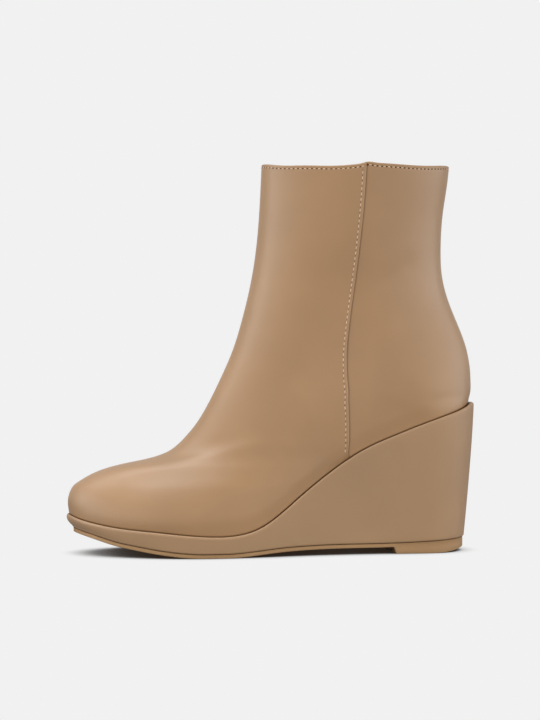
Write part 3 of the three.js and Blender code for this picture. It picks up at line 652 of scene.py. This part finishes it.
def wedgeReveal(turn, share):
    # How far the wedge stands out past the feather line, a share of the way down its side.
    x, _ = featherPoint(turn)
    nx, ny = featherNormal(turn)
    endReveal = np.where(nx < 0, boot["heelReveal"], boot["toeReveal"])
    top = boot["rimReveal"] + (endReveal - boot["rimReveal"]) * nx ** 2
    heelDraft = boot["wedgeHeelDraft"] * share ** boot["wedgeHeelBend"]
    toeDraft = boot["wedgeToeDraft"] * share ** boot["wedgeToeBend"]
    sideDraft = math.tan(math.radians(boot["wedgeSideLean"])) * (rimHeight(x) - wedgeBottom(x)) * share
    return top - np.where(nx < 0, heelDraft, toeDraft) * nx ** 2 - sideDraft * ny ** 2


def wedgeSkin():
    # Rings in plan: filler, seat, a rounded lip as half a superellipse, the leaning side,
    # and the rounded bottom. Filler, seat and the lip's inner slope carry painted shade.
    turns = ringTurns(wedgeLook["columns"])

    def ring(distance, height):
        x, y = planPoint(turns, distance)
        return np.stack([x, y, height(x)], -1)
    seat = lambda x: rimHeight(x) - boot["rimLip"]
    filler = boot["clearance"] + wedgeLook["fillerReach"]
    rings = [
        ring(-filler, lambda x: edgeHeight(x) + boot["marginThickness"]),
        ring(-filler, seat), ring(-wedgeLook["seatReach"], seat)]
    # Painted shade: full on filler and seat, fading up the lip's inner slope by its angle, none below.
    shades = [1, 1, 1]
    reveal, inner = wedgeReveal(turns, 0), boot["clearance"]
    for angle in np.linspace(0, np.pi, wedgeLook["lipRows"]):
        distance = (reveal + inner) / 2 - (reveal - inner) / 2 * np.cos(angle)
        lift = boot["rimRound"] * (np.sin(angle) ** wedgeLook["lipFullness"] - 1)
        rings.append(ring(distance, lambda x: rimHeight(x) + lift))
        shades.append(1 - ease((angle - wedgeLook["lipShadeStart"]) / wedgeLook["lipShadeSpan"]))
    for share in np.linspace(0, 1, wedgeLook["sideRows"])[1:]:
        rings.append(ring(wedgeReveal(turns, share), lambda x: mix(
            rimHeight(x) - boot["rimRound"], wedgeBottom(x) + boot["bottomRound"], share)))
    for angle in np.linspace(0, np.pi / 2, wedgeLook["bottomRows"])[1:]:
        drop = boot["bottomRound"] * (1 - np.sin(angle))
        distance = wedgeReveal(turns, 1) - boot["bottomRound"] * (1 - np.cos(angle))
        rings.append(ring(distance, lambda x: wedgeBottom(x) + drop))
    shades = np.array(shades + [0] * (len(rings) - len(shades)))[::-1]
    return *stack(np.stack(rings[::-1])), np.repeat(shades, len(turns))


makePiece("wedgeCover", wedgeSkin(), finish["wrapLeather"], "wedge")

soleLook = {
    "stations": 420, "across": 44, "edgeRound": 0.5,
    "ribPitch": 3.2, "ribDepth": 0.45, "ribMargin": 5.0, "ribFade": 1.5, "ribFlatness": 1.2,
    "sway": 2.2, "swayLength": 5.2,        # the ribs' waves across the sole
    "padMargin": 4.0, "ballReach": 30.0, "toeMargin": 10.0,  # where the ribs stop along the sole
    "edgeShare": 0.8,
}
footbedLook = {
    "inset": 2.5, "stations": 160, "across": 40, "edgeDrop": 0.7, "edgeRound": 1.2,
    "dish": 0.5, "dishStart": 3.0, "dishLength": 14.0,
}


def outlineIn(distanceOf, x):
    # Half outlines of a plate: for each place along the boot, where the outer and the inner edge lie.
    turns = np.linspace(0, 1, 4001)
    edges = []
    for side in (1, -1):
        px, py = planPoint(side * turns, distanceOf(side * turns))
        order = np.maximum.accumulate(px)
        edges.append(np.interp(x, order, py))
    return edges


def plateGrid(x, edges, across):
    outer, inner = edges
    share = (1 - np.cos(np.pi * np.linspace(0, 1, across))) / 2
    y = mix(inner[:, None], outer[:, None], share[None, :])
    return np.broadcast_to(x[:, None], y.shape), y, np.minimum(y - inner[:, None], outer[:, None] - y)


def outsoleSkin():
    padFlatX = padFrontX - boot["heelPadSlant"] - boot["heelTreadLength"]
    even = mix(soleHeelX, soleToeX, shareOfTurn(np.linspace(0, 1, soleLook["stations"])))
    steps = padFrontX - boot["heelPadSlant"] * np.array([1.15, 1, 0.9, 0.5, 0.1, 0, -0.15])
    x = np.unique(np.concatenate([even, steps]))
    edges = outlineIn(lambda turn: wedgeReveal(turn, 1) - boot["soleInset"], x)
    gx, gy, inside = plateGrid(x, edges, soleLook["across"])
    thin = undersideHeight(gx)
    back = boot["heelLift"] * (np.clip(padFlatX - gx, 0, None) / (padFlatX - soleHeelX)) ** 2
    front = np.clip((gx - padFrontX + boot["heelPadSlant"]) / boot["heelPadSlant"], 0, 1)
    low = mix(back, thin, ease(front))
    onPad = gx < padFrontX - soleLook["padMargin"]
    onBall = (gx > treadBackX - soleLook["ballReach"]) & (gx < soleToeX - soleLook["toeMargin"])
    fade = ease((inside - soleLook["ribMargin"]) / soleLook["ribFade"]) * (onPad | onBall)
    swaying = gx + soleLook["sway"] * np.sin(gy / soleLook["swayLength"])
    wave = np.sin(2 * np.pi * swaying / soleLook["ribPitch"])
    low = low + soleLook["ribDepth"] * ease(wave * soleLook["ribFlatness"]) * fade
    low = low + soleLook["edgeRound"] * (1 - roundEnd(inside / soleLook["edgeRound"])) * soleLook["edgeShare"]
    bottom = np.stack([gx, gy, low], -1)
    top = np.stack([gx, gy, thin + boot["soleThickness"]], -1)
    return shell(top, bottom)


def footbedSkin():
    inset, shares = footbedLook["inset"], shareOfTurn(np.linspace(0, 1, footbedLook["stations"]))
    x = mix(featherHeelX + inset, featherToeX - inset, shares)
    gx, gy, inside = plateGrid(x, outlineIn(lambda turn: -inset, x), footbedLook["across"])
    low = edgeHeight(gx) + boot["marginThickness"] + boot["clearance"]
    rounded = footbedLook["edgeDrop"] * (1 - roundEnd(inside / footbedLook["edgeRound"]))
    dished = footbedLook["dish"] * ease((inside - footbedLook["dishStart"]) / footbedLook["dishLength"])
    high = low + boot["footbedThickness"] - rounded - dished
    return shell(np.stack([gx, gy, high], -1), np.stack([gx, gy, low], -1))


makePiece("rubberSole", outsoleSkin(), finish["soleRubber"], "outsole")
makePiece("sockLining", footbedSkin(), finish["softLining"], "footbed")

stitchLook = {
    "seamPitch": 3.1, "topPitch": 2.8, "gap": 1.25, "radius": 0.27, "lift": 0.1, "holeRadius": 0.6,
    "endDip": 0.34,        # ends of a stitch below its middle
    "frontInset": 0.006, "backInset": 0.004,  # topline rows stopping short of the seam, in turns
}


def circles(first, second, count):
    # For each stitch, a unit circle of points in the plane of its two directions.
    angle = np.arange(count) * np.pi / (count / 2)
    return (first[:, None, None] * np.cos(angle)[None, None, :, None]
            + second[:, None, None] * np.sin(angle)[None, None, :, None])


def repeated(points, one):
    # The faces of one small form, given to each of them.
    step = np.arange(len(points)) * (points[0].size // 3)
    return points.reshape(-1, 3), (one[None] + step[:, None, None]).reshape(-1, 4)


def evenly(path, normals, pitch):
    # Points at equal steps along a path, with the directions along it and out of the surface.
    length = np.concatenate([[0], np.cumsum(np.linalg.norm(np.diff(path, axis=0), axis=1))])
    count = int(length[-1] / pitch)
    at = (np.arange(count) + 0.5) * (length[-1] / count)
    read = lambda grid, where: np.stack([np.interp(where, length, grid[:, k]) for k in range(3)], -1)
    centre, out = read(path, at), read(normals, at)
    along = read(path, at + 0.4) - read(path, at - 0.4)
    along /= np.linalg.norm(along, axis=1, keepdims=True)
    out -= along * np.sum(out * along, axis=1, keepdims=True)
    out /= np.linalg.norm(out, axis=1, keepdims=True)
    return centre, along, out, length[-1] / count


def stitchSkin(centre, along, out, length):
    # Each stitch: rings of six points along an arch whose ends dip into the leather.
    share = np.array([-1, -0.93, -0.75, -0.4, 0, 0.4, 0.75, 0.93, 1])
    thick = stitchLook["radius"] * np.array([0.25, 0.62, 0.92, 1, 1, 1, 0.92, 0.62, 0.25])
    arch = stitchLook["lift"] - stitchLook["endDip"] * share ** 4
    spine = centre[:, None] + along[:, None] * (share * length / 2)[None, :, None]
    spine = spine + out[:, None] * arch[None, :, None]
    points = spine[:, :, None] + circles(np.cross(along, out), out, 6) * thick[None, :, None, None]
    tube = quadsOf(len(share), 6, True)[:, ::-1]
    cap = np.array([[0, 1, 2, 3], [0, 3, 4, 5]])
    return repeated(points, np.concatenate([tube, cap[:, ::-1], cap + 6 * (len(share) - 1)]))


def holeSkin(centre, out, along):
    # Painted shade of the needle holes: low dark lenses of eight points round, set just proud of the leather.
    size = np.array([0.35, 1, 0.4]) * stitchLook["holeRadius"]
    lift = np.array([-0.12, 0.0, 0.05])
    points = centre[:, None, None] + circles(np.cross(along, out), along, 8) * size[None, :, None, None]
    points = points + out[:, None, None] * lift[None, :, None, None]
    tube = quadsOf(3, 8, True)[:, ::-1]
    cap = np.array([[0, 1, 2, 3], [0, 3, 4, 7], [4, 5, 6, 7]])
    return repeated(points, np.concatenate([tube, cap[:, ::-1], cap + 16]))


def joinSkins(skins):
    count = np.cumsum([0] + [len(points) for points, _ in skins])
    return np.concatenate([p for p, _ in skins]), np.concatenate([f + n for (_, f), n in zip(skins, count)])


def stitchRows():
    # A row down each side seam on the front panel, and one under the topline, outside and in.
    threads, holes = [], []

    def sew(path, normals, pitch):
        centre, along, out, step = evenly(path, normals, pitch)
        threads.append(stitchSkin(centre, along, out, step - stitchLook["gap"]))
        holes.append(holeSkin(centre + along * step / 2, out, along))
    for side in (1, -1):
        rise = np.linspace(0.03, 0.985, 400)
        turn = side * seamTurn(rise, upperLook["seamStitch"])
        point = surfacePoint(turn, rise)
        height = point[:, 2] - rimHeight(point[:, 0])
        proud = boot["seamStep"] * (1 - ease(upperLook["seamStitch"] / boot["seamFade"]))
        lift = proud * ease(height / boot["seamRise"])
        keep = height > 0.6
        normals = surfaceNormal(turn, rise)
        path = point + normals * (lift - upperLook["stitchSink"] + upperLook["frontLift"])[:, None]
        sew(path[keep], normals[keep], stitchLook["seamPitch"])
    seamTop = seamTurn(np.ones(1), 0.0)[0]
    frontGap, backGap = stitchLook["frontInset"], stitchLook["backInset"]
    onFront = (seamTop + frontGap, 1 + (1 - seamTop) - frontGap)
    onBack = (-seamTop + backGap, seamTop - backGap)
    for span in (onFront, onBack):
        turn = np.linspace(*span, 1200)
        rise = 1 - upperLook["topStitch"] / toplineScale(turn)
        past = seamPast(turn, rise)
        proud = boot["seamStep"] * (1 - ease(past / boot["seamFade"]))
        proud = proud * roundEnd(past / upperLook["edgeRound"])
        lift = (proud if span is onFront else 0 * past) - upperLook["stitchSink"] * upperLook["topSink"]
        normals = surfaceNormal(turn, rise)
        point = surfacePoint(turn, rise)
        sew(point + normals * (lift + upperLook["frontLift"])[:, None], normals, stitchLook["topPitch"])
        sew(point - normals * boot["wall"], -normals, stitchLook["topPitch"])
    return joinSkins(threads), joinSkins(holes)


threadSkin, needleSkin = stitchRows()
makePiece("stitches", threadSkin, finish["thread"], "upper")
# Dark lenses on the stitch holes, painted shade where the holes are.
makePiece("holeShadeDots", needleSkin, finish["holeShade"], "upper")
print("boot ready")

stage = {
    "floorRadius": 6.0, "skyColour": (241, 241, 241), "skyFill": 0.04, "skyGloss": 0.7, "floorGlow": 0.3,
    # The floor's painted shadow: its reach, the occlusion range it darkens over, and its colour.
    "shadeReach": 0.02, "shadeRange": (0.02, 0.84), "shadeColour": (40, 30, 22),
    "lampTarget": (0.0, 0.0, 0.1), "lampDistance": 1.5, "lampSize": 0.8,
    "cameraTarget": (0.0015, 0.0, 0.113), "cameraDistance": 1.2025, "cameraTurn": 8.0, "lens": 101.7,
}


# Softboxes: turn from the toe's direction towards the outer side, height angle, power, shows in the gloss.
lamps = {
    "heelSideLow": (120, 10, 7.1, False),
    "sideLow": (90, 10, 3.9, False),
    "toeSideLow": (60, 10, 4.8, False),
    "heelLow": (150, 10, 3.6, True),
    "heelEdge": (178, 10, 4.4, True),
    "toeLow": (30, 10, 3.0, True),
    "toeFront": (0, 10, 5.6, True),
    "toeFrontHigh": (0, 35, 2.3, True),
    "toeHigh": (0, 60, 4.0, True),
    "toeSideHigh": (45, 60, 1.8, True),
    "top": (0, 88, 9.5, True),
    "farHigh": (330, 60, 2.0, True),
}


def makeFloor():
    # Rings of a flat disc. It has the backdrop's tone, with a painted shadow only where the boot hides the
    # sky.
    radius = np.array([0.0005, 0.2, 0.5, 1, 2, 4, stage["floorRadius"]])[:, None]
    angle = np.linspace(0, 2 * np.pi, 64, endpoint=False)
    points = np.stack([radius * np.cos(angle), radius * np.sin(angle), 0 * radius * angle], -1)
    mesh = bpy.data.meshes.new("floor")
    mesh.from_pydata(points.reshape(-1, 3).tolist(), [], quadsOf(len(radius), len(angle), True).tolist())
    floor = bpy.data.objects.new("floor", mesh)
    bpy.context.collection.objects.link(floor)
    material = bpy.data.materials.new("studioFloor")
    material.use_nodes = True
    nodes, links = material.node_tree.nodes, material.node_tree.links
    nodes.remove(nodes["Principled BSDF"])
    # Painted shadow: the glow's colour goes dark where ambient occlusion finds the boot near.
    hidden = nodes.new("ShaderNodeAmbientOcclusion")
    hidden.samples = 16
    hidden.inputs["Distance"].default_value = stage["shadeReach"]
    clear = nodes.new("ShaderNodeMapRange")
    clear.interpolation_type = "SMOOTHSTEP"
    clear.inputs["From Min"].default_value, clear.inputs["From Max"].default_value = stage["shadeRange"]
    links.new(hidden.outputs["AO"], clear.inputs["Value"])
    shade = nodes.new("ShaderNodeMix")
    shade.data_type = "RGBA"
    shade.inputs["A"].default_value = linearColour(*stage["shadeColour"])
    shade.inputs["B"].default_value = linearColour(*stage["skyColour"])
    links.new(clear.outputs["Result"], shade.inputs["Factor"])
    lit = nodes.new("ShaderNodeMapRange")
    lit.inputs["To Min"].default_value = stage["floorGlow"]
    links.new(nodes.new("ShaderNodeLightPath").outputs["Is Camera Ray"], lit.inputs["Value"])
    glow = nodes.new("ShaderNodeEmission")
    links.new(shade.outputs["Result"], glow.inputs["Color"])
    links.new(lit.outputs["Result"], glow.inputs["Strength"])
    links.new(glow.outputs["Emission"], nodes["Material Output"].inputs["Surface"])
    mesh.materials.append(material)


makeFloor()
for name, (turn, rise, power, glossy) in lamps.items():
    turn, rise = math.radians(turn), math.radians(rise)
    way = Vector((math.cos(turn) * math.cos(rise), math.sin(turn) * math.cos(rise), math.sin(rise)))
    light = bpy.data.lights.new(name, "AREA")
    light.size = stage["lampSize"]
    light.energy = power
    lamp = bpy.data.objects.new(name, light)
    lamp.location = Vector(stage["lampTarget"]) + way * stage["lampDistance"]
    lamp.rotation_euler = (-way).to_track_quat("-Z", "Y").to_euler()
    lamp.visible_glossy = glossy
    bpy.context.collection.objects.link(lamp)
world = bpy.data.worlds.new("studio")
world.use_nodes = True
world.node_tree.nodes["Background"].inputs["Color"].default_value = linearColour(*stage["skyColour"])
nodes, links = world.node_tree.nodes, world.node_tree.links
# The backdrop is at full strength to the camera, weaker in the gloss, and hardly lights the boot.
rays = nodes.new("ShaderNodeLightPath").outputs
seen, gloss = nodes.new("ShaderNodeMath"), nodes.new("ShaderNodeMath")
seen.operation = gloss.operation = "MULTIPLY_ADD"
seen.inputs[1].default_value = 1 - stage["skyFill"]
seen.inputs[2].default_value = stage["skyFill"]
gloss.inputs[1].default_value = stage["skyGloss"] - stage["skyFill"]
links.new(rays["Is Camera Ray"], seen.inputs[0])
links.new(rays["Is Glossy Ray"], gloss.inputs[0])
links.new(seen.outputs["Value"], gloss.inputs[2])
links.new(gloss.outputs["Value"], nodes["Background"].inputs["Strength"])
bpy.context.scene.world = world
bpy.context.scene.view_settings.view_transform = "Standard"

lens = bpy.data.cameras.new("camera")
lens.lens = stage["lens"]
camera = bpy.data.objects.new("camera", lens)
bpy.context.collection.objects.link(camera)
turned = math.radians(stage["cameraTurn"])
target = Vector(stage["cameraTarget"])
camera.location = target + stage["cameraDistance"] * Vector((math.sin(turned), math.cos(turned), 0))
camera.rotation_euler = (target - camera.location).to_track_quat("-Z", "Y").to_euler()
bpy.context.scene.camera = camera

print("stage ready")
